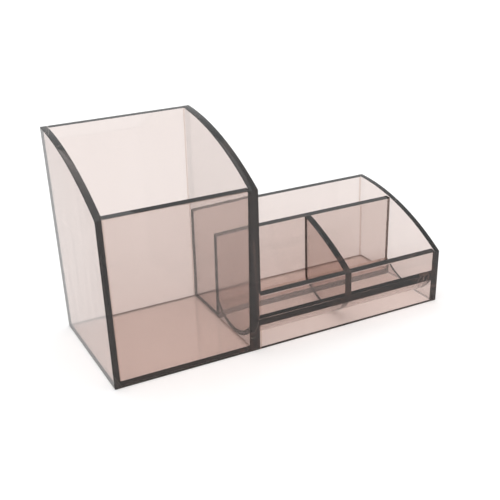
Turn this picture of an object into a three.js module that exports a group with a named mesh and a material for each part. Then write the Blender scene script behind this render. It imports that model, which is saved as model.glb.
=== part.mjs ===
// Clear smoked desk organizer: a tall pen cup on the left and a low tray on the right.
// The tray has a rear slot and two front compartments whose floor is one bent scoop.
// Every part is a clear panel, bonded to its neighbours along its edges.
//
// Units are millimetres, +X to the right, +Y to the back, +Z up. The origin is on the
// table, under the middle of the organizer's outer box.
//
// Every panel is one section in the Y-Z plane carried along X between two end planes,
// so a panel is described by its section and by where it starts and stops along X.

import * as THREE from 'three';

// Outer sizes, at the table unless a height is named.
const overallWidth = 180;
const overallDepth = 72;
const cupWidth = 75;
const cupRearHeight = 105.5;
const cupFrontHeight = 81.6;
const trayRearHeight = 50.5;
const trayFrontHeight = 28.4;

// How far each sloping top edge bulges above the straight line between its two ends.
const cupArcRise = 4.9;
const trayArcRise = 5.3;
const centreDividerArcRise = 1.3;

// Panel thicknesses.
const cupSideThickness = 3.5;
const middleWallThicknessAtTable = 5.7;
const traySideThickness = 2.9;
const frontThickness = 3.2;
const backThickness = 3.2;
const floorThickness = 2.4;
const longDividerThickness = 3.6;
const centreDividerThickness = 3.7;
const scoopThickness = 2.5;

// The walls lean outwards, so that the organizer is a little wider at the top.
const frontLean = THREE.MathUtils.degToRad(0.7);
const backLean = THREE.MathUtils.degToRad(0.7);
const sideLean = THREE.MathUtils.degToRad(1.0);
const middleWallTaper = THREE.MathUtils.degToRad(0.95);

// The dividers in the tray.
const longDividerFrontFace = 41;
const longDividerHeight = 46;
const centreDividerLeftShift = 0.7;

// The scoop's upper face: its radius, and the depth and height of its lowest line.
const scoopRadius = 22.5;
const scoopLowestDepth = 24.1;
const scoopLowestHeight = 2.7;

// The front walls stand above the front corners of the side walls by the height of
// their rim, and the rim's outer edge is rounded.
const rimHeight = 0.9;
const rimRadius = 0.9;

// The film of cement between two bonded faces.
const bondGap = 0.05;

const arcSegments = 24;
const filletSegments = 6;
const scoopSegments = 24;

const smokedPlastic = { color: 0xcdb9b0, roughness: 0.12, metalness: 0, transparent: true, opacity: 0.45 };

// Faces of the outer walls as functions of the height.
const frontFace = (z) => -z * Math.tan(frontLean);
const backFace = (z) => overallDepth + z * Math.tan(backLean);
const leftFace = (z) => -z * Math.tan(sideLean);
const rightFace = (z) => overallWidth + z * Math.tan(sideLean);

const frontInnerFace = (z) => frontFace(z) + frontThickness;
const backInnerFace = (z) => backFace(z) - backThickness;
const leftInnerFace = (z) => leftFace(z) + cupSideThickness;
const rightInnerFace = (z) => rightFace(z) - traySideThickness;

// The middle wall is upright on the tray's side and thins upwards on the cup's side.
const middleTrayFace = () => cupWidth;
const middleCupFace = (z) => cupWidth - middleWallThicknessAtTable + z * Math.tan(middleWallTaper);

// A plane moved along its own axis.
const moved = (face, distance) => (z) => face(z) + distance;

const point = (y, z) => new THREE.Vector2(y, z);

// Points on the arc from start to end that bulges upwards by rise, both ends included.
function risingArc(start, end, rise) {
  const chord = end.clone().sub(start);
  const half = chord.length() / 2;
  const radius = (half * half + rise * rise) / (2 * rise);
  const upward = point(-chord.y, chord.x).normalize();
  if (upward.y < 0) upward.negate();
  const centre = start.clone().add(end).multiplyScalar(0.5).addScaledVector(upward, rise - radius);
  const first = start.clone().sub(centre).angle();
  let sweep = end.clone().sub(centre).angle() - first;
  if (sweep > Math.PI) sweep -= 2 * Math.PI;
  if (sweep < -Math.PI) sweep += 2 * Math.PI;
  return Array.from({ length: arcSegments + 1 }, (_, i) => {
    const angle = first + (sweep * i) / arcSegments;
    return point(centre.x + radius * Math.cos(angle), centre.y + radius * Math.sin(angle));
  });
}

// Points on a circle from one angle to another, in degrees from +Y towards +Z.
function circleArc(centre, radius, fromDegrees, toDegrees, segments) {
  return Array.from({ length: segments + 1 }, (_, i) => {
    const angle = THREE.MathUtils.degToRad(fromDegrees + ((toDegrees - fromDegrees) * i) / segments);
    return point(centre.x + radius * Math.cos(angle), centre.y + radius * Math.sin(angle));
  });
}

// Makes a panel: the section, in (y, z), spans X from the plane start(z) to the plane end(z).
function panel(name, section, start, end) {
  const geometry = new THREE.ExtrudeGeometry(new THREE.Shape(section), {
    depth: 1, steps: 1, bevelEnabled: false, curveSegments: 1,
  });
  const places = geometry.attributes.position;
  for (let i = 0; i < places.count; i += 1) {
    const y = places.getX(i);
    const z = places.getY(i);
    places.setXYZ(i, THREE.MathUtils.lerp(start(z), end(z), places.getZ(i)), y, z);
  }
  geometry.computeVertexNormals();
  const mesh = new THREE.Mesh(geometry, new THREE.MeshStandardMaterial(smokedPlastic));
  mesh.name = name;
  return mesh;
}

// The outline of a side wall: upright at the front and back, with an arc for its top.
function sideSection(rearHeight, frontHeight, rise) {
  const rearTop = point(backFace(rearHeight), rearHeight);
  const frontTop = point(frontFace(frontHeight), frontHeight);
  return [point(frontFace(0), 0), point(backFace(0), 0), ...risingArc(rearTop, frontTop, rise)];
}

// A wall that leans forwards, standing on the table, with its outer top edge rounded.
function frontSection(height) {
  const roundStart = height - rimRadius;
  const roundCentre = point(frontFace(roundStart) + rimRadius, roundStart);
  return [
    point(frontFace(0), 0),
    point(frontInnerFace(0), 0),
    point(frontInnerFace(height), height),
    ...circleArc(roundCentre, rimRadius, 90, 180, filletSegments),
  ];
}

// A wall that leans backwards, standing on the table.
function backSection(height) {
  return [
    point(backInnerFace(0), 0),
    point(backFace(0), 0),
    point(backFace(height), height),
    point(backInnerFace(height), height),
  ];
}

// A level floor between the faces before(z) and behind(z).
function floorSection(before, behind) {
  return [
    point(before(0) + bondGap, 0),
    point(behind(0) - bondGap, 0),
    point(behind(floorThickness) - bondGap, floorThickness),
    point(before(floorThickness) + bondGap, floorThickness),
  ];
}

// The tops of the two front walls.
const cupRimTop = cupFrontHeight + rimHeight;
const trayRimTop = trayFrontHeight + rimHeight;

// The scoop is one sheet bent to a circle, from the front wall to the long divider.
const scoopCentre = point(scoopLowestDepth, scoopLowestHeight + scoopRadius);
const scoopFrontEnd = moved(frontInnerFace, bondGap);
const scoopBackEnd = () => longDividerFrontFace - bondGap;

// The angle, below the centre, where a circle round the scoop's centre meets a face.
// The faces are nearly upright, so a few steps settle it.
function angleAt(face, radius) {
  let angle = -Math.PI / 2;
  for (let step = 0; step < 8; step += 1) {
    const z = scoopCentre.y + radius * Math.sin(angle);
    angle = -Math.acos((face(z) - scoopCentre.x) / radius);
  }
  return THREE.MathUtils.radToDeg(angle);
}

// The circle's points from one of the scoop's ends to the other.
function scoopCurve(radius, fromEnd, toEnd) {
  const from = angleAt(fromEnd, radius);
  const to = angleAt(toEnd, radius);
  return circleArc(scoopCentre, radius, from, to, scoopSegments);
}

function scoopSection() {
  return [
    ...scoopCurve(scoopRadius + scoopThickness, scoopFrontEnd, scoopBackEnd),
    ...scoopCurve(scoopRadius, scoopBackEnd, scoopFrontEnd),
  ];
}

function longDividerSection() {
  const foot = floorThickness + bondGap;
  return [
    point(longDividerFrontFace, foot),
    point(longDividerFrontFace + longDividerThickness, foot),
    point(longDividerFrontFace + longDividerThickness, longDividerHeight),
    point(longDividerFrontFace, longDividerHeight),
  ];
}

// The centre divider stands on the scoop and runs from the front wall to the long divider.
function centreDividerSection() {
  const rearTop = point(scoopBackEnd(), longDividerHeight);
  const frontTop = point(scoopFrontEnd(trayRimTop), trayRimTop);
  return [
    ...scoopCurve(scoopRadius - bondGap, scoopFrontEnd, scoopBackEnd),
    ...risingArc(rearTop, frontTop, centreDividerArcRise),
  ];
}

// Planes along X between which the panels of the cup and of the tray are fitted.
const cupStart = moved(leftInnerFace, bondGap);
const cupEnd = moved(middleCupFace, -bondGap);
const trayStart = moved(middleTrayFace, bondGap);
const trayEnd = moved(rightInnerFace, -bondGap);
const trayMiddle = (middleTrayFace(0) + rightInnerFace(0)) / 2;
const centreDividerMiddle = trayMiddle - centreDividerLeftShift;
const centreDividerStart = () => centreDividerMiddle - centreDividerThickness / 2;
const centreDividerEnd = () => centreDividerMiddle + centreDividerThickness / 2;

const cupSide = sideSection(cupRearHeight, cupFrontHeight, cupArcRise);
const traySide = sideSection(trayRearHeight, trayFrontHeight, trayArcRise);
const slotFloorFront = () => longDividerFrontFace - bondGap;

const organizer = new THREE.Group();
organizer.name = 'desk_organizer';
organizer.add(
  panel('cup_left_wall', cupSide, leftFace, leftInnerFace),
  panel('middle_wall', cupSide, middleCupFace, middleTrayFace),
  panel('cup_front_wall', frontSection(cupRimTop), cupStart, cupEnd),
  panel('cup_back_wall', backSection(cupRearHeight), cupStart, cupEnd),
  panel('cup_floor', floorSection(frontInnerFace, backInnerFace), cupStart, cupEnd),
  panel('tray_right_wall', traySide, rightInnerFace, rightFace),
  panel('tray_front_wall', frontSection(trayRimTop), trayStart, trayEnd),
  panel('tray_back_wall', backSection(trayRearHeight), trayStart, trayEnd),
  panel('slot_floor', floorSection(slotFloorFront, backInnerFace), trayStart, trayEnd),
  panel('long_divider', longDividerSection(), trayStart, trayEnd),
  panel('scoop_floor', scoopSection(), trayStart, trayEnd),
  panel('centre_divider', centreDividerSection(), centreDividerStart, centreDividerEnd),
);

// Puts the middle of the outer box over the origin.
const boxMiddleX = (leftFace(cupRearHeight) + rightFace(trayRearHeight)) / 2;
const boxMiddleY = (frontFace(cupFrontHeight) + backFace(cupRearHeight)) / 2;
organizer.position.set(-boxMiddleX, -boxMiddleY, 0);

export default organizer;
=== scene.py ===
# %% [markdown]
# # A clear smoked desk organizer
#
# The organizer is one row of clear panels: a tall pen cup on the left and a low tray on
# the right. There is no paint, no metal and no label, so nearly everything the eye sees
# is light that has been through the plastic. Face on, a wall is a pale rose tint. Looked
# at along its own length it is nearly black, because light then has to cross several
# centimetres of smoke-tinted plastic instead of three millimetres.
#
# That gives the plan for this lesson. Each panel becomes a closed body with the small
# rounded edges that a mould leaves, and one material describes the plastic inside it as
# well as its surface. The dark edges are then not painted: they come out by themselves.

import math

import bmesh
import bpy
import numpy as np
from mathutils import Matrix, Vector


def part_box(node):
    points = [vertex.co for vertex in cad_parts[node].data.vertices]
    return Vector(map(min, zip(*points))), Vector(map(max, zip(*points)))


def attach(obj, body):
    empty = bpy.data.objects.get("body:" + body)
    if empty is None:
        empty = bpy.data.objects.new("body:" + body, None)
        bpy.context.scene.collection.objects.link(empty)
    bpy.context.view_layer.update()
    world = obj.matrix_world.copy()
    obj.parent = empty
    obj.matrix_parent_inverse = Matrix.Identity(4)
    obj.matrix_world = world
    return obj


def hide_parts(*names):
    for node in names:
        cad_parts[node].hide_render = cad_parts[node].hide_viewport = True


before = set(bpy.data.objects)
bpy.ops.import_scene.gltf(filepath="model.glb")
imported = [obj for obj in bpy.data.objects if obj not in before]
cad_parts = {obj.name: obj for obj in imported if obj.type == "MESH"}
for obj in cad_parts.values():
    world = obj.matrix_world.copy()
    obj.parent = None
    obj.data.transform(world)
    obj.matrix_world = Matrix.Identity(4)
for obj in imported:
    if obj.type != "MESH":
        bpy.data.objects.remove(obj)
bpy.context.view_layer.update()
MM = 0.001

# %% [markdown]
# ## The camera first
#
# The organizer is seen from the front left and a little above, from about 45 cm away.
# The camera could be aimed with a constraint, but a matrix says the same thing in one
# line and leaves nothing live in the file: turn about the vertical, look down, then a
# small tilt of the horizon.

# %% Camera
CAMERA_PLACE = Vector((-0.1850, -0.3690, 0.2091))
TURNED_RIGHT = math.radians(26.47)
LOOKING_DOWN = math.radians(22.78)
TILTED = math.radians(-1.94)
SENSOR_WIDTH = 36.0
LENS_LENGTH = 63.16
NEAREST, FARTHEST = 0.01, 50.0

camera = bpy.data.objects.new("camera", bpy.data.cameras.new("camera"))
bpy.context.collection.objects.link(camera)
camera.data.sensor_width = SENSOR_WIDTH
camera.data.lens = LENS_LENGTH
camera.data.clip_start = NEAREST
camera.data.clip_end = FARTHEST
camera.matrix_world = (
    Matrix.Translation(CAMERA_PLACE)
    @ Matrix.Rotation(-TURNED_RIGHT, 4, "Z")
    @ Matrix.Rotation(math.pi / 2 - LOOKING_DOWN, 4, "X")
    @ Matrix.Rotation(TILTED, 4, "Z")
)
bpy.context.scene.camera = camera
print("camera is", round(CAMERA_PLACE.length, 3), "m from the middle of the organizer")

# %% [markdown]
# ## A pale table and soft light
#
# Clear plastic shows what is behind it, so the table and the room are half of its look.
# The table is one plain white sheet, a tenth of a millimetre under the organizer, so that
# the two never share a face. The room is an even white, as in a light tent, and one very
# wide soft lamp shines from above.

# %% Table, room and lamp
FLOOR_DROP = 0.1 * MM
FLOOR_HALF = 4.0
SHEET_WHITE = (0.93, 0.93, 0.93)
SHEET_ROUGHNESS = 0.9
LAMP_STRENGTH = 0.8
LAMP_SPREAD = math.radians(70)
LAMP_AIM = Vector((0.2, -0.3, -1.0))


def plain_material(name, colour, roughness):
    """A matt Principled material."""
    material = bpy.data.materials.new(name)
    material.use_nodes = True
    shader = material.node_tree.nodes["Principled BSDF"]
    shader.inputs["Base Color"].default_value = (*colour, 1.0)
    shader.inputs["Roughness"].default_value = roughness
    shader.inputs["Specular IOR Level"].default_value = 0.0
    return material


floor_mesh = bpy.data.meshes.new("table_sheet")
corner_signs = np.array([[-1, -1], [1, -1], [1, 1], [-1, 1]], float)
floor_corners = np.column_stack([corner_signs * FLOOR_HALF, np.full(4, -FLOOR_DROP)])
floor_mesh.from_pydata(floor_corners.tolist(), [], [[0, 1, 2, 3]])
floor = bpy.data.objects.new("table_sheet", floor_mesh)
sheet = plain_material("white_sheet", SHEET_WHITE, SHEET_ROUGHNESS)
floor.data.materials.append(sheet)
bpy.context.collection.objects.link(floor)

world = bpy.data.worlds.new("light_tent")
bpy.context.scene.world = world
world.use_nodes = True
room = world.node_tree.nodes["Background"]
room.inputs["Color"].default_value = (1.0, 1.0, 1.0, 1.0)
room.inputs["Strength"].default_value = 1.0

lamp_data = bpy.data.lights.new("overhead_softlight", "SUN")
lamp_data.energy = LAMP_STRENGTH
lamp_data.angle = LAMP_SPREAD
lamp = bpy.data.objects.new("overhead_softlight", lamp_data)
lamp.rotation_mode = "QUATERNION"
lamp.rotation_quaternion = LAMP_AIM.to_track_quat("-Z", "Y")
bpy.context.collection.objects.link(lamp)

# %% [markdown]
# Light that is caught inside a wall bounces from face to face many times before it gets
# out at the far edge. If the renderer gives up early, that edge turns black for the wrong
# reason, so the limits are set well above what an ordinary scene needs.

# %% How far light is followed
INSIDE_BOUNCES = 48
BONDS_CROSSED = 64

scene = bpy.context.scene
scene.cycles.max_bounces = INSIDE_BOUNCES
scene.cycles.transmission_bounces = INSIDE_BOUNCES
scene.cycles.glossy_bounces = INSIDE_BOUNCES
scene.cycles.transparent_max_bounces = BONDS_CROSSED
scene.cycles.diffuse_bounces = 3
scene.cycles.caustics_refractive = True
scene.cycles.caustics_reflective = True
scene.cycles.blur_glossy = 0.0
scene.cycles.sample_clamp_indirect = 8.0
scene.cycles.seed = 7
scene.view_settings.view_transform = "Standard"
scene.view_settings.look = "None"

# %% [markdown]
# ## Where the faces are
#
# The walls lean outwards by about a degree, as they would to come off a mould's core. A
# face is therefore not one number but a function of height: where it is at the table,
# plus the height times the tangent of its lean. The places come from the boxes of the
# CAD nodes; only the leans, the radii, the bulges of the arcs and the falls of the tops
# are named here and below, because a box can't hold them.

# %% Faces as functions of height
FRONT_LEAN = math.tan(math.radians(0.7))
BACK_LEAN = math.tan(math.radians(0.7))
SIDE_LEAN = math.tan(math.radians(1.0))
MIDDLE_TAPER = math.tan(math.radians(0.95))
BOND_GAP = 0.05 * MM

low_left, high_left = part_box("cup_left_wall")
low_middle, high_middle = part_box("middle_wall")
low_right, high_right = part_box("tray_right_wall")
low_front, high_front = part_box("cup_front_wall")
low_back, high_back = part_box("cup_back_wall")

RIM_HEIGHT = 0.9 * MM
cup_rear_height = high_left.z
cup_rim_top = high_front.z
cup_front_height = cup_rim_top - RIM_HEIGHT
tray_rear_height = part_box("tray_back_wall")[1].z
tray_rim_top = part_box("tray_front_wall")[1].z
tray_front_height = tray_rim_top - RIM_HEIGHT
floor_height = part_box("cup_floor")[1].z


def sloping(place, height, lean):
    """A face at `place` when it has climbed to `height`: place + (z - height) * lean."""
    return lambda z: place + (z - height) * lean


def beside(face, gap):
    """The same face moved by a gap."""
    return lambda z: face(z) + gap


front_face = sloping(low_front.y, cup_front_height, -FRONT_LEAN)
front_inner_face = sloping(high_front.y, 0.0, -FRONT_LEAN)
back_face = sloping(high_back.y, cup_rear_height, BACK_LEAN)
back_inner_face = sloping(low_back.y, 0.0, BACK_LEAN)
left_face = sloping(low_left.x, cup_rear_height, -SIDE_LEAN)
left_inner_face = sloping(high_left.x, 0.0, -SIDE_LEAN)
right_face = sloping(high_right.x, tray_rear_height, SIDE_LEAN)
right_inner_face = sloping(low_right.x, 0.0, SIDE_LEAN)
middle_cup_face = sloping(low_middle.x, 0.0, MIDDLE_TAPER)
middle_tray_face = sloping(high_middle.x, 0.0, 0.0)

print("front wall is", round((front_inner_face(0) - front_face(0)) / MM, 2), "mm thick")
print("left wall is", round((left_inner_face(0) - left_face(0)) / MM, 2), "mm thick")

# %% [markdown]
# ## Outlines made of runs
#
# Every panel is one outline in the upright Y-Z plane, carried along X. An outline is a
# ring of runs, and a run is either straight or curved. Two things are remembered for
# each step along the ring: whether it is curved, so that only curves are shaded smooth
# and flat faces stay truly flat, and whether it is bonded to a neighbour.
#
# Short guard steps at both ends of every straight run and every long arc keep a blend of
# normals between neighbouring faces, if there is one, within half a millimetre.

# %% Runs
FREE, BONDED, BONDED_AT_DIVIDER = 0, 1, 2
GUARD = 0.5 * MM
LARGEST_GUARD_SHARE = 0.25


def straight(start, end, cuts=(), bond=FREE):
    """Points start + t * (end - start), with t at 0, at the guards and at the cuts."""
    start, end = np.array(start, float), np.array(end, float)
    guard = min(GUARD / np.linalg.norm(end - start), LARGEST_GUARD_SHARE)
    t = np.unique(np.round([0.0, guard, *cuts, 1.0 - guard], 9))
    points = start + t[:, None] * (end - start)
    return points, np.zeros(len(t), int), np.full(len(t), bond)


def along_arc(centre, radius, angles, bond=FREE):
    """Points centre + radius * (cos a, sin a) for a row of angles, without the last."""
    angles = np.asarray(angles)[:-1]
    points = np.array(centre) + radius * np.column_stack([np.cos(angles), np.sin(angles)])
    return points, np.ones(len(angles), int), np.full(len(angles), bond)


def join(*runs):
    """One closed outline from runs: its points, and each step's curve and bond flags."""
    points, curved, bond = (np.concatenate(parts) for parts in zip(*runs))
    return {"points": points, "curved": curved, "bond": bond}


def bulging(start, end, rise, steps):
    """Centre, radius and angles of the arc that rises above the chord from start to end.

    With h half the chord, the radius is (h * h + rise * rise) / (2 * rise).
    """
    start, end = np.array(start), np.array(end)
    chord = end - start
    half = np.linalg.norm(chord) / 2
    radius = (half**2 + rise**2) / (2 * rise)
    upward = np.array([-chord[1], chord[0]]) / (2 * half)
    upward = upward if upward[1] > 0 else -upward
    centre = (start + end) / 2 + upward * (rise - radius)
    first = math.atan2(*(start - centre)[::-1])
    last = math.atan2(*(end - centre)[::-1])
    guards = GUARD / radius
    angles = np.linspace(first, last, steps + 1)
    return centre, radius, np.sort(np.append(angles, [first + guards, last - guards]))


# %% [markdown]
# ## Carrying an outline along X
#
# The body of a panel is a grid: one parameter runs round the outline, the other across
# the panel's thickness. Across the thickness there are a few steps at each end that turn
# through a quarter circle, which is the small round that a mould leaves on a free edge.
# At a bonded edge its radius is nothing, so the steps fall together and are merged.

# %% Outline to body
EDGE_STEPS = 5


def ring_normals(points):
    """Outward mitre of each corner: the sum of both steps' normals over 1 + their dot."""
    along = np.roll(points, -1, axis=0) - points
    normal = np.column_stack([along[:, 1], -along[:, 0]])
    normal /= np.linalg.norm(normal, axis=1)[:, None]
    before = np.roll(normal, 1, axis=0)
    share = 1.0 + np.sum(before * normal, axis=1)
    return (before + normal) / np.maximum(share, 0.2)[:, None]


def at_corners(step_radius):
    """A corner's radius is the smaller of its two steps' radii."""
    return np.minimum(step_radius, np.roll(step_radius, 1))


def cross_rows(outline, start, end, start_radius, end_radius, stations):
    """Rows of (x, y, z) from the start face to the end face, one row a ring.

    A ring at angle a has its outline drawn in by r * (1 - cos a) and stands
    r * (1 - sin a) inside the face, for a from 0 at the rim to 90 degrees at the face.
    """
    points = outline["points"]
    mitre = ring_normals(points)
    quarter = np.linspace(math.pi / 2, 0.0, EDGE_STEPS + 1)
    rows = []
    for face, radius, inward in ((start, start_radius, 1.0), (end, end_radius, -1.0)):
        radius = at_corners(radius)[None, :]
        drawn = radius * (1.0 - np.cos(quarter))[:, None]
        flat = points[None] - mitre[None] * drawn[..., None]
        depth = radius * (1.0 - np.sin(quarter))[:, None]
        x = face(flat[..., 1]) + inward * depth
        rows.append(np.concatenate([x[..., None], flat], axis=2))
    between = [
        np.column_stack([np.full(len(points), station), points]) for station in stations
    ]
    middle = np.array(between).reshape(-1, len(points), 3)
    return np.concatenate([rows[0], middle, rows[1][::-1]])


def grid_faces(row_count, ring_count):
    """Quads between neighbouring rows, closed round the ring, facing outwards."""
    row = np.arange(row_count - 1)[:, None] * ring_count
    step = np.arange(ring_count)[None, :]
    onward = (step + 1) % ring_count
    corners = [row + step, row + step + ring_count, row + onward + ring_count, row + onward]
    return np.stack(corners, axis=2).reshape(-1, 4)


# %% [markdown]
# ## Bonded faces
#
# The organizer is clear right through its corners: hardly a line shows where a floor runs
# into a wall, as if the plastic were continuous there, cemented or moulded in one. The
# pieces here are separate, with a hair of space between them, and a hair of air would
# mirror light like any other surface. So each face that is bonded gets the attribute
# `bonded`, and the material lets light straight through those faces with only a slight
# tint, which joins the plastic again for light.
#
# The end faces of the three upright side walls are bonded only where another panel meets
# them. Those patches are cut out of the flat face, one straight cut at a time.

# %% Cutting bonded patches
PATCH_MARGIN = 0.06 * MM
ON_CUT = 1e-7


def cut_patch(bm, faces, ring):
    """The part of some flat faces that lies inside a convex ring of (y, z) points.

    Each edge of the ring is a plane along X. The faces are split on it, and those on
    its outer side are let go.
    """
    for here, onward in zip(ring, np.roll(ring, -1, axis=0)):
        along = onward - here
        length = np.linalg.norm(along)
        if length < ON_CUT or not faces:
            continue
        outward = np.array([along[1], -along[0]]) / length
        spot = here + outward * PATCH_MARGIN
        around = dict.fromkeys(part for f in faces for part in (*f.edges, *f.verts))
        cut = bmesh.ops.bisect_plane(
            bm,
            geom=[*faces, *around],
            dist=ON_CUT,
            plane_co=(0.0, *spot),
            plane_no=(0.0, *outward),
        )
        made = [part for part in cut["geom"] if isinstance(part, bmesh.types.BMFace)]
        faces = [
            f
            for f in dict.fromkeys([*faces, *made])
            if np.dot(np.array(f.calc_center_median())[1:] - spot, outward) < 0
        ]
    return faces


# %% [markdown]
# A curved face is shaded with normals that blend along its edges, and a flat neighbour must
# not take part in that blend: a wall's end would bend the light over its whole length. So
# every edge that a flat face touches is marked sharp.
#
# The maker also notes which faces are bonded, and which feet are painted dark and matt as
# painted shade where they stand on the table.

# %% Panel maker
ON_TABLE = 0.01 * MM
SAME_POINT = 0.001 * MM
panels = {}


def keep_flats_flat(mesh):
    """Marks each edge sharp that belongs to at least one flat shaded face."""
    smooth = np.zeros(len(mesh.polygons), bool)
    sizes = np.zeros(len(mesh.polygons), int)
    loop_edges = np.zeros(len(mesh.loops), int)
    mesh.polygons.foreach_get("use_smooth", smooth)
    mesh.polygons.foreach_get("loop_total", sizes)
    mesh.loops.foreach_get("edge_index", loop_edges)
    sharp = np.zeros(len(mesh.edges), bool)
    np.logical_or.at(sharp, loop_edges, np.repeat(~smooth, sizes))
    mesh.edges.foreach_set("use_edge_sharp", sharp)


def make_panel(node, outline, start, end, start_radius=0.0, end_radius=0.0,
               stations=(), whole_ends=(True, True), patches=((), ()), paint_foot_shade=False):
    """A closed, finely edged body that stands for one CAD panel.

    whole_ends says which of the two end faces is bonded all over. patches holds, for
    each end face, the convex (y, z) rings of the panels that meet it. The last argument
    paints the face on the table dark and matt: painted shade for where the foot stands.
    """
    count = len(outline["points"])
    radii = [np.broadcast_to(r, count).astype(float) for r in (start_radius, end_radius)]
    rows = cross_rows(outline, start, end, *radii, stations)
    faces = grid_faces(len(rows), count)
    bond = np.broadcast_to(outline["bond"], (len(rows) - 1, count)).copy()
    centre_x = rows.mean(axis=1)[:, 0]
    between = (centre_x[:-1] + centre_x[1:]) / 2
    at_divider = (between > divider_span[0]) & (between < divider_span[1])
    bond[(bond == BONDED_AT_DIVIDER) & ~at_divider[:, None]] = FREE
    curved = np.broadcast_to(outline["curved"], (len(rows) - 1, count)).copy()
    curved[:EDGE_STEPS] = 1
    curved[-EDGE_STEPS:] = 1

    mesh = bpy.data.meshes.new(node + "_clear")
    first_end = np.arange(count)[::-1]
    second_end = np.arange(count) + (len(rows) - 1) * count
    all_faces = [*faces.tolist(), first_end.tolist(), second_end.tolist()]
    mesh.from_pydata(rows.reshape(-1, 3).tolist(), [], all_faces)
    flags = np.append((bond.ravel() > FREE).astype(float), np.array(whole_ends, float))
    mesh.attributes.new("bonded", "FLOAT", "FACE").data.foreach_set("value", flags)
    smooth = np.append(curved.ravel(), [0, 0]).astype(bool)
    mesh.polygons.foreach_set("use_smooth", smooth)
    which_end = np.append(np.zeros(len(faces), int), [1, 2])
    mesh.attributes.new("which_end", "INT", "FACE").data.foreach_set("value", which_end)

    bm = bmesh.new()
    bm.from_mesh(mesh)
    bmesh.ops.remove_doubles(bm, verts=bm.verts, dist=SAME_POINT)
    bmesh.ops.recalc_face_normals(bm, faces=bm.faces)
    layer = bm.faces.layers.float["bonded"]
    end_layer = bm.faces.layers.int["which_end"]
    for number, rings in enumerate(patches, start=1):
        parts = [f for f in bm.faces if f[end_layer] == number]
        for ring in rings:
            others = set(bm.faces) - set(parts)
            for patch in cut_patch(bm, parts, ring):
                patch[layer] = 1.0
            parts = [f for f in bm.faces if f not in others]
    bm.faces.layers.int.remove(end_layer)
    bm.to_mesh(mesh)
    bm.free()
    keep_flats_flat(mesh)
    middles = np.zeros(3 * len(mesh.polygons))
    mesh.polygons.foreach_get("center", middles)
    # faces on the table get painted shade: a dark matt finish for the shade under the foot
    painted_foot_shade = paint_foot_shade & (middles[2::3] < ON_TABLE)
    mesh.attributes.new("painted_foot_shade", "FLOAT", "FACE").data.foreach_set("value", painted_foot_shade.astype(float))

    piece = bpy.data.objects.new(node + "_clear", mesh)
    bpy.context.collection.objects.link(piece)
    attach(piece, "root")
    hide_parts(node)
    panels[node] = piece
    corners = np.array([v.co for v in mesh.vertices])
    wanted = np.array(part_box(node))
    off = np.abs(np.array([corners.min(0), corners.max(0)]) - wanted).max()
    print(node, len(mesh.polygons), "faces, box within", round(off / MM, 3), "mm of CAD")


# %% [markdown]
# ## The walls across the front and back
#
# The top of a front wall is a dark ribbon, wider than a level top of this thickness would
# look. So it is made to fall a little towards the front, as if the arcs of the side walls
# ran on over it; light that enters it is caught inside the wall. That is the simplest
# shape that gives such a ribbon, not one that can be seen directly. The back walls' tops
# fall by only a hair. Both are cut where a floor, the scoop or the centre divider meets
# them, so that only that part is bonded.
#
# A thin dark line runs along the table under the front walls, where they stand on it. Their
# feet
# are painted dark and matt to give it: painted shade for the shade under a foot; a small bevel
# could do the same.

# %% Front and back walls
BROW_ROUND = 0.4 * MM
BACK_TOP_FALL = 0.3 * MM
SMALL_ROUND = 0.1 * MM
FOOT_ROUND = 0.1 * MM
ROUND_STEPS = 5
divider_low, divider_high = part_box("centre_divider")
divider_span = (divider_low.x, divider_high.x)


def corner_round(corner, before, after, radius):
    """A fillet on a corner between two straight sides, and where it meets each of them.

    Its centre is on the corner's bisector, radius / sin(half the angle) away.
    """
    corner, before, after = (np.array(p, float) for p in (corner, before, after))
    back = (before - corner) / np.linalg.norm(before - corner)
    on = (after - corner) / np.linalg.norm(after - corner)
    half = math.acos(np.clip(np.dot(back, on), -1, 1)) / 2
    reach = radius / math.tan(half)
    bisector = (back + on) / np.linalg.norm(back + on)
    centre = corner + bisector * radius / math.sin(half)
    first = math.atan2(*(corner + back * reach - centre)[::-1])
    turn = (math.atan2(*(corner + on * reach - centre)[::-1]) - first + math.pi) % math.tau
    angles = np.linspace(first, first + turn - math.pi, ROUND_STEPS + 1)
    return along_arc(centre, radius, angles), corner + back * reach, corner + on * reach


def front_wall_outline(height, bonds):
    """Foot, inner face, the top falling to the front, and the outer face down.

    bonds lists (from height, to height, bond) for the inner face, from the foot up.
    """
    foot, inner_foot = (front_face(0.0), 0.0), (front_inner_face(0.0), 0.0)
    inner_top = (front_inner_face(height), height)
    outer_top = (front_face(height - RIM_HEIGHT), height - RIM_HEIGHT)
    lip_round, lip_start, lip_end = corner_round(inner_top, inner_foot, outer_top, SMALL_ROUND)
    brow, brow_start, brow_end = corner_round(outer_top, inner_top, foot, BROW_ROUND)
    foot_round, foot_start, foot_end = corner_round(foot, outer_top, inner_foot, FOOT_ROUND)
    top_height = lip_start[1]
    runs = [foot_round, straight(foot_end, inner_foot)]
    for low, high, bond in bonds:
        high = min(high, top_height)
        ends = [(front_inner_face(z), z) for z in (low, high)]
        runs.append(straight(*ends, bond=bond))
    runs += [lip_round, straight(lip_end, brow_start), brow, straight(brow_end, foot_start)]
    return join(*runs)


def back_wall_outline(height):
    """Foot, outer face, the top with two small rounds, and the inner face down."""
    inner_foot, foot = (back_inner_face(0.0), 0.0), (back_face(0.0), 0.0)
    inner_height = height - BACK_TOP_FALL
    top, inner_top = (back_face(height), height), (back_inner_face(inner_height), inner_height)
    outer_round, outer_start, outer_end = corner_round(top, foot, inner_top, SMALL_ROUND)
    inner_round, inner_start, inner_end = corner_round(inner_top, top, inner_foot, SMALL_ROUND)
    floor_line = (back_inner_face(floor_height), floor_height)
    return join(
        straight(inner_foot, foot),
        straight(foot, outer_start),
        outer_round,
        straight(outer_end, inner_start),
        inner_round,
        straight(inner_end, floor_line),
        straight(floor_line, inner_foot, bond=BONDED),
    )


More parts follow.
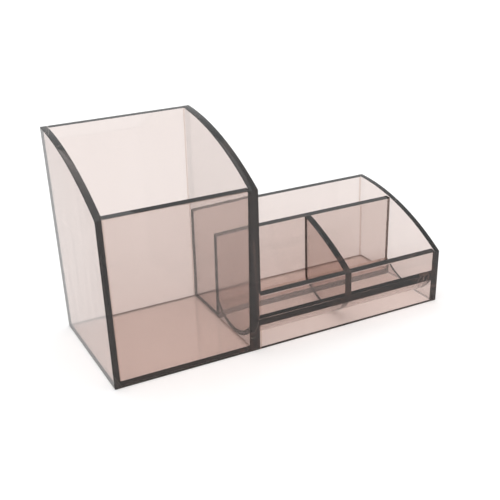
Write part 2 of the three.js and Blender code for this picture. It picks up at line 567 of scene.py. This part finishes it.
cup_start, cup_end = beside(left_inner_face, BOND_GAP), beside(middle_cup_face, -BOND_GAP)
tray_start, tray_end = beside(middle_tray_face, BOND_GAP), beside(right_inner_face, -BOND_GAP)

# %% [markdown]
# ## The scoop
#
# Both front compartments share one sheet bent to part of a circle, from the front wall
# down to its lowest line and up again to the long divider. It lets a fingertip sweep
# small things out. It is open below, so its underside and the dark line of its lip show
# through the front wall.
#
# Where the circle meets an upright face at y, its angle below the centre is the arccosine
# of (y - centre) / radius. The faces lean a little, so a few steps settle y.

# %% Scoop shape
SCOOP_RADIUS = 22.5 * MM
SCOOP_THICKNESS = 2.5 * MM
SCOOP_LOWEST_DEPTH = 24.1 * MM
SCOOP_STEPS = 48
SETTLING_STEPS = 8

scoop_low, scoop_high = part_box("scoop_floor")
front_at_table = front_face(0.0)
scoop_centre = np.array([
    front_at_table + SCOOP_LOWEST_DEPTH,
    scoop_low.z + SCOOP_THICKNESS + SCOOP_RADIUS,
])
scoop_front_end = beside(front_inner_face, BOND_GAP)
scoop_back_end = sloping(scoop_high.y, 0.0, 0.0)


def scoop_angle(face, radius):
    """The angle where a circle round the scoop's centre meets a nearly upright face."""
    angle = -math.pi / 2
    for _ in range(SETTLING_STEPS):
        z = scoop_centre[1] + radius * math.sin(angle)
        angle = -math.acos((face(z) - scoop_centre[0]) / radius)
    return angle


def scoop_angles(radius):
    """A row of angles from the front end to the back end of a circle."""
    ends = [scoop_angle(face, radius) for face in (scoop_front_end, scoop_back_end)]
    return np.linspace(*ends, SCOOP_STEPS + 1)


def on_scoop(radius, angle):
    """The (y, z) of a circle round the scoop's centre at an angle."""
    return scoop_centre + radius * np.array([math.cos(angle), math.sin(angle)])


under_radius = SCOOP_RADIUS + SCOOP_THICKNESS
under_angles, upper_angles = scoop_angles(under_radius), scoop_angles(SCOOP_RADIUS)
lip_under, heel_under = (on_scoop(under_radius, under_angles[i]) for i in (0, -1))
lip_top, heel_top = (on_scoop(SCOOP_RADIUS, upper_angles[i]) for i in (0, -1))
print("the scoop's lip is", round(lip_top[1] / MM, 1), "mm above the table")


def scoop_outline():
    """Under the sheet from front to back, up its heel, and along its upper face."""
    return join(
        along_arc(scoop_centre, under_radius, under_angles),
        straight(heel_under, heel_top, bond=BONDED),
        along_arc(scoop_centre, SCOOP_RADIUS, upper_angles[::-1], BONDED_AT_DIVIDER),
        straight(lip_top, lip_under, bond=BONDED),
    )


# %% [markdown]
# ## Floors and dividers
#
# The two floors are level slabs. The long divider stands on the slot's floor and the
# centre divider stands on the scoop, so its foot repeats the scoop's upper face, a hair
# higher. Its top is a very flat arc from the long divider down to the front wall. The
# long divider's own top falls half a millimetre towards the front, for the same reason as
# the front walls'.

# %% Floor and divider outlines
slot_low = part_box("slot_floor")[0]
long_low, long_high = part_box("long_divider")
CENTRE_RISE = 1.3 * MM
LONG_TOP_FALL = 0.5 * MM
ARC_STEPS = 40


def floor_outline(before, behind, front_bond, divider_rear=()):
    """A level slab between two faces. divider_rear is the y behind a divider's foot."""
    foot_front, foot_back = (before(0.0), 0.0), (behind(0.0), 0.0)
    top_front, top_back = ((face(floor_height), floor_height) for face in (before, behind))
    stops = [top_back, *((y, floor_height) for y in divider_rear), top_front]
    bonds = [FREE, BONDED]
    top = [straight(a, b, bond=bond) for a, b, bond in zip(stops, stops[1:], bonds)]
    return join(
        straight(foot_front, foot_back),
        straight(foot_back, top_back, bond=BONDED),
        *top,
        straight(top_front, foot_front, bond=front_bond),
    )


def long_divider_outline():
    """An upright slab, cut where the scoop and the centre divider meet its front."""
    front, rear, foot, top = long_low.y, long_high.y, long_low.z, long_high.z
    brow = top - LONG_TOP_FALL
    rear_round, rear_start, rear_end = corner_round(
        (rear, top), (rear, foot), (front, brow), SMALL_ROUND
    )
    front_round, front_start, front_end = corner_round(
        (front, brow), (rear, top), (front, foot), SMALL_ROUND
    )
    return join(
        straight((front, foot), (rear, foot), bond=BONDED),
        straight((rear, foot), rear_start),
        rear_round,
        straight(rear_end, front_start),
        front_round,
        straight(front_end, (front, heel_top[1]), bond=BONDED_AT_DIVIDER),
        straight((front, heel_top[1]), (front, heel_under[1]), bond=BONDED),
        straight((front, heel_under[1]), (front, foot)),
    )


def centre_divider_outline():
    """Foot along the scoop, up the long divider, the flat arc, and down the front wall."""
    rear_top = (scoop_back_end(0.0), divider_high.z)
    front_top = (scoop_front_end(tray_rim_top), tray_rim_top)
    foot_radius = SCOOP_RADIUS - BOND_GAP
    foot_angles = scoop_angles(foot_radius)
    foot_front, foot_back = (on_scoop(foot_radius, foot_angles[i]) for i in (0, -1))
    return join(
        along_arc(scoop_centre, foot_radius, foot_angles, BONDED),
        straight(foot_back, rear_top, bond=BONDED),
        along_arc(*bulging(rear_top, front_top, CENTRE_RISE, ARC_STEPS)),
        straight(front_top, foot_front, bond=BONDED),
    )


# %% [markdown]
# ## The side walls
#
# The three side walls run the full depth, and their top is one long arc from the tall
# back to the low front. Light entering their front edge comes out at the back edge, seven
# centimetres on, which is what makes those edges so dark. Their outer edges are slightly
# rounded all round; the inner ones only where no other panel is bonded to them.

# %% Side wall outline
CUP_RISE = 4.9 * MM
TRAY_RISE = 5.3 * MM
EDGE_RADIUS = 0.4 * MM
FOOT, BACK, ARC, FRONT = 0, 1, 2, 3


def side_outline(rear_height, front_height, rise, back_cuts=(), front_cuts=()):
    """Foot, back edge, arc and front edge of a side wall, and which is which."""
    foot_front, foot_back = (front_face(0.0), 0.0), (back_face(0.0), 0.0)
    rear_top = (back_face(rear_height), rear_height)
    front_top = (front_face(front_height), front_height)
    arc = along_arc(*bulging(rear_top, front_top, rise, ARC_STEPS))
    back_at = [h / rear_height for h in back_cuts]
    front_at = [1.0 - h / front_height for h in front_cuts]
    runs = [
        straight(foot_front, foot_back),
        straight(foot_back, rear_top, back_at),
        arc,
        straight(front_top, foot_front, front_at),
    ]
    labels = np.repeat([FOOT, BACK, ARC, FRONT], [len(run[0]) for run in runs])
    return join(*runs), labels


def edge_radii(outline, labels, front_from, back_from, foot):
    """Rounding of each step of one end face's rim: none where a panel is bonded to it.

    The front edge is free above front_from and the back edge above back_from.
    """
    heights = outline["points"][:, 1]
    middle = (heights + np.roll(heights, -1)) / 2
    free = np.select(
        [labels == FOOT, labels == BACK, labels == FRONT],
        [foot, middle > back_from, middle > front_from],
        True,
    )
    return np.where(free, EDGE_RADIUS, 0.0)


# %% [markdown]
# The patches where other panels meet a side wall are convex rings. The scoop is a bent
# band, so it is handed over as a row of small quads between its lower and upper curves.

# %% Patches on the side walls
def ring_of(*corners):
    """A convex ring, anticlockwise seen with Y to the right and Z up."""
    return np.array(corners, float)


def front_wall_rings(height):
    """The front wall's section."""
    outline = front_wall_outline(height, [(0.0, height, FREE)])
    return [outline["points"]]


def back_wall_rings(height):
    """The back wall's section."""
    return [back_wall_outline(height)["points"]]


def floor_ring(before, behind):
    """A floor's section."""
    return ring_of(
        (before(0.0), 0.0),
        (behind(0.0), 0.0),
        (behind(floor_height), floor_height),
        (before(floor_height), floor_height),
    )


def slab_ring(low, high):
    """An upright slab's section, from its box."""
    return ring_of((low.y, low.z), (high.y, low.z), (high.y, high.z), (low.y, high.z))


def scoop_rings():
    """Quads between the scoop's lower and upper curves."""
    curves = [
        scoop_centre + radius * np.column_stack([np.cos(angles), np.sin(angles)])
        for radius, angles in ((SCOOP_RADIUS, upper_angles), (under_radius, under_angles))
    ]
    inner, outer = curves
    quads = np.stack([inner[:-1], outer[:-1], outer[1:], inner[1:]], axis=1)
    return list(quads)


print(len(scoop_rings()), "small rings make up the scoop's patch")

# %% [markdown]
# ## Making the twelve panels
#
# Each call names the CAD node that the new panel stands for. The CAD node stays in the
# frame for collision, and the new panel takes its place in the view.

# %% The pen cup
cup_front_outline = front_wall_outline(
    cup_rim_top,
    [(0.0, floor_height, BONDED), (floor_height, cup_rim_top, FREE)],
)
cup_inner_rings = [
    floor_ring(front_inner_face, back_inner_face),
    *front_wall_rings(cup_rim_top),
    *back_wall_rings(cup_rear_height),
]
cup_floor_edges = beside(front_inner_face, BOND_GAP), beside(back_inner_face, -BOND_GAP)

make_panel("cup_front_wall", cup_front_outline, cup_start, cup_end, paint_foot_shade=True)
make_panel("cup_back_wall", back_wall_outline(cup_rear_height), cup_start, cup_end)
make_panel("cup_floor", floor_outline(*cup_floor_edges, BONDED), cup_start, cup_end)

left_outline, left_labels = side_outline(cup_rear_height, cup_front_height, CUP_RISE)
make_panel(
    "cup_left_wall", left_outline, left_face, left_inner_face,
    start_radius=edge_radii(left_outline, left_labels, 0.0, 0.0, True),
    end_radius=edge_radii(
        left_outline, left_labels, cup_front_height, cup_rear_height, False
    ),
    whole_ends=(False, False), patches=((), cup_inner_rings),
)

# %% The tray's walls
tray_front_outline = front_wall_outline(
    tray_rim_top,
    [
        (0.0, lip_under[1], FREE),
        (lip_under[1], lip_top[1], BONDED),
        (lip_top[1], tray_rim_top, BONDED_AT_DIVIDER),
    ],
)
make_panel(
    "tray_front_wall", tray_front_outline, tray_start, tray_end,
    stations=divider_span, paint_foot_shade=True,
)
make_panel("tray_back_wall", back_wall_outline(tray_rear_height), tray_start, tray_end)

slot_edges = sloping(slot_low.y, 0.0, 0.0), beside(back_inner_face, -BOND_GAP)
slot_outline = floor_outline(*slot_edges, FREE, (long_high.y,))
make_panel("slot_floor", slot_outline, tray_start, tray_end)

# %% The dividers and the scoop
make_panel(
    "long_divider", long_divider_outline(), tray_start, tray_end, stations=divider_span
)
make_panel("scoop_floor", scoop_outline(), tray_start, tray_end, stations=divider_span)

centre_outline = centre_divider_outline()
centre_free = centre_outline["bond"] == FREE
make_panel(
    "centre_divider", centre_outline,
    sloping(divider_low.x, 0.0, 0.0), sloping(divider_high.x, 0.0, 0.0),
    start_radius=np.where(centre_free, EDGE_RADIUS, 0.0),
    end_radius=np.where(centre_free, EDGE_RADIUS, 0.0),
    whole_ends=(False, False),
)

# %% The middle and right walls
tray_inner_rings = [
    floor_ring(*slot_edges),
    slab_ring(long_low, long_high),
    *front_wall_rings(tray_rim_top),
    *back_wall_rings(tray_rear_height),
    *scoop_rings(),
]
middle_outline, middle_labels = side_outline(
    cup_rear_height, cup_front_height, CUP_RISE, [tray_rear_height], [tray_front_height]
)
make_panel(
    "middle_wall", middle_outline, middle_cup_face, middle_tray_face,
    start_radius=edge_radii(
        middle_outline, middle_labels, cup_front_height, cup_rear_height, False
    ),
    end_radius=edge_radii(
        middle_outline, middle_labels, tray_front_height, tray_rear_height, False
    ),
    whole_ends=(False, False), patches=(cup_inner_rings, tray_inner_rings),
)

right_outline, right_labels = side_outline(tray_rear_height, tray_front_height, TRAY_RISE)
make_panel(
    "tray_right_wall", right_outline, right_inner_face, right_face,
    start_radius=edge_radii(
        right_outline, right_labels, tray_front_height, tray_rear_height, False
    ),
    end_radius=edge_radii(right_outline, right_labels, 0.0, 0.0, True),
    whole_ends=(False, False), patches=(tray_inner_rings, ()),
)

# %% [markdown]
# ## The smoked plastic
#
# It is polished acrylic or polystyrene with a little smoke dye. Two things tint it. Dye
# in the body takes a share of the light for each millimetre, which shows as a pale smoke
# through a wall and blackens a path along one: that is a Volume Absorption inside the
# mesh. And each face crossed adds a faint rose tint, which is the Base Color of a
# Principled shader with full transmission.
#
# Moulded plastic is never perfectly even. A slow noise, drawn out along the height the
# way the melt flowed, varies the tint a little and bends the surface by a few hundredths
# of a degree. A finer noise gives the roughness of light handling marks.
#
# The tints and the smoke are chosen so that one wall, two walls and an edge each
# look right together. Three mixes follow. Bonded faces are Transparent, with a slight
# tint like a film of cement. The feet of the front walls are a dark matt Diffuse, painted
# shade for the dark line where they stand on the table. And rays that ask how much lamp
# light gets through take a tinted Transparent, so the table under the organizer
# is lit softly instead of lying in a black shadow.

# %% Smoked plastic
ROSE = (0.938, 0.856, 0.826)
ROSE_DEEP = (0.906, 0.822, 0.791)
SMOKE_PER_METRE = 52.0
SMOKE_COLOUR = (0.08, 0.02, 0.0)
PLASTIC_IOR = 1.5
LAMP_TINT = (0.93, 0.87, 0.84)
CEMENT_TINT = (0.93, 0.89, 0.87)
# painted shade: the dark colour of the front walls' feet stands for the shade where they stand
# on the table
FOOT_SHADE_PAINT = (0.06, 0.05, 0.045)
UNSTRETCHED = (1.0, 1.0, 1.0)
ALONG_THE_FLOW = (1.0, 1.0, 0.25)
FLOW_SCALE, FLOW_DETAIL = 45.0, 2.0
MARK_SCALE, MARK_DETAIL = 900.0, 3.0
ROUGHEST = 0.03
WAVE_STRENGTH = 0.25
WAVE_HEIGHT = 0.4 * MM


def node(tree, kind, place, **settings):
    """A new shader node with its settings."""
    made = tree.nodes.new(kind)
    made.location = place
    for key, value in settings.items():
        setattr(made, key, value)
    return made


def noise(tree, place, coordinates, stretch, scale, detail):
    """A Noise texture in Object coordinates, stretched along the axes."""
    mapping = node(tree, "ShaderNodeMapping", place)
    mapping.inputs["Scale"].default_value = stretch
    texture = node(tree, "ShaderNodeTexNoise", (place[0] + 200, place[1]))
    texture.inputs["Scale"].default_value = scale
    texture.inputs["Detail"].default_value = detail
    tree.links.new(coordinates, mapping.inputs["Vector"])
    tree.links.new(mapping.outputs["Vector"], texture.inputs["Vector"])
    return texture.outputs["Fac"]


def smoked_plastic():
    """Principled glass with body smoke, clear bonds, feet painted dark as painted shade, and
    lamp light let through.
    """
    material = bpy.data.materials.new("smoked_clear_plastic")
    material.use_nodes = True
    tree = material.node_tree
    link = tree.links.new
    shader = tree.nodes["Principled BSDF"]
    output = tree.nodes["Material Output"]
    shader.inputs["Transmission Weight"].default_value = 1.0
    shader.inputs["IOR"].default_value = PLASTIC_IOR

    where = node(tree, "ShaderNodeTexCoord", (-1400, 0)).outputs["Object"]
    flow = noise(tree, (-1200, 200), where, ALONG_THE_FLOW, FLOW_SCALE, FLOW_DETAIL)
    tint = node(tree, "ShaderNodeMix", (-600, 300), data_type="RGBA")
    tint.inputs[6].default_value = (*ROSE, 1.0)
    tint.inputs[7].default_value = (*ROSE_DEEP, 1.0)
    link(flow, tint.inputs[0])
    link(tint.outputs[2], shader.inputs["Base Color"])

    marks = noise(tree, (-1200, -100), where, UNSTRETCHED, MARK_SCALE, MARK_DETAIL)
    gloss = node(tree, "ShaderNodeMapRange", (-600, -100))
    gloss.inputs["To Min"].default_value = 0.0
    gloss.inputs["To Max"].default_value = ROUGHEST
    link(marks, gloss.inputs["Value"])
    link(gloss.outputs["Result"], shader.inputs["Roughness"])

    bump = node(tree, "ShaderNodeBump", (-600, -400))
    bump.inputs["Strength"].default_value = WAVE_STRENGTH
    bump.inputs["Distance"].default_value = WAVE_HEIGHT
    link(flow, bump.inputs["Height"])
    link(bump.outputs["Normal"], shader.inputs["Normal"])

    clear = node(tree, "ShaderNodeBsdfTransparent", (0, -300))
    clear.inputs["Color"].default_value = (*CEMENT_TINT, 1.0)
    bonded = node(tree, "ShaderNodeAttribute", (0, 300), attribute_name="bonded")
    joined = node(tree, "ShaderNodeMixShader", (300, 0))
    link(bonded.outputs["Fac"], joined.inputs[0])
    link(shader.outputs[0], joined.inputs[1])
    link(clear.outputs[0], joined.inputs[2])

    # painted shade: a dark matt Diffuse on the feet for the shade where they stand on the
    # table
    foot_shade_bsdf = node(tree, "ShaderNodeBsdfDiffuse", (300, -150))
    foot_shade_bsdf.inputs["Color"].default_value = (*FOOT_SHADE_PAINT, 1.0)
    painted_foot_shade = node(tree, "ShaderNodeAttribute", (300, 300), attribute_name="painted_foot_shade")
    body = node(tree, "ShaderNodeMixShader", (450, 0))
    link(painted_foot_shade.outputs["Fac"], body.inputs[0])
    link(joined.outputs[0], body.inputs[1])
    link(foot_shade_bsdf.outputs[0], body.inputs[2])

    passing = node(tree, "ShaderNodeBsdfTransparent", (300, -300))
    passing.inputs["Color"].default_value = (*LAMP_TINT, 1.0)
    path = node(tree, "ShaderNodeLightPath", (300, 500))
    lit = node(tree, "ShaderNodeMixShader", (600, 0))
    link(path.outputs["Is Shadow Ray"], lit.inputs[0])
    link(body.outputs[0], lit.inputs[1])
    link(passing.outputs[0], lit.inputs[2])
    link(lit.outputs[0], output.inputs["Surface"])

    smoke = node(tree, "ShaderNodeVolumeAbsorption", (600, -300))
    smoke.inputs["Color"].default_value = (*SMOKE_COLOUR, 1.0)
    smoke.inputs["Density"].default_value = SMOKE_PER_METRE
    link(smoke.outputs[0], output.inputs["Volume"])
    return material


plastic = smoked_plastic()
for panel in panels.values():
    panel.data.materials.append(plastic)
one_wall = front_inner_face(0) - front_face(0)
taken = 1 - math.exp(-SMOKE_PER_METRE * one_wall)
print("smoke takes", round(taken, 2), "of one wall's light")

# %% Sizes
print(len(panels), "panels,", sum(len(p.data.polygons) for p in panels.values()), "faces")
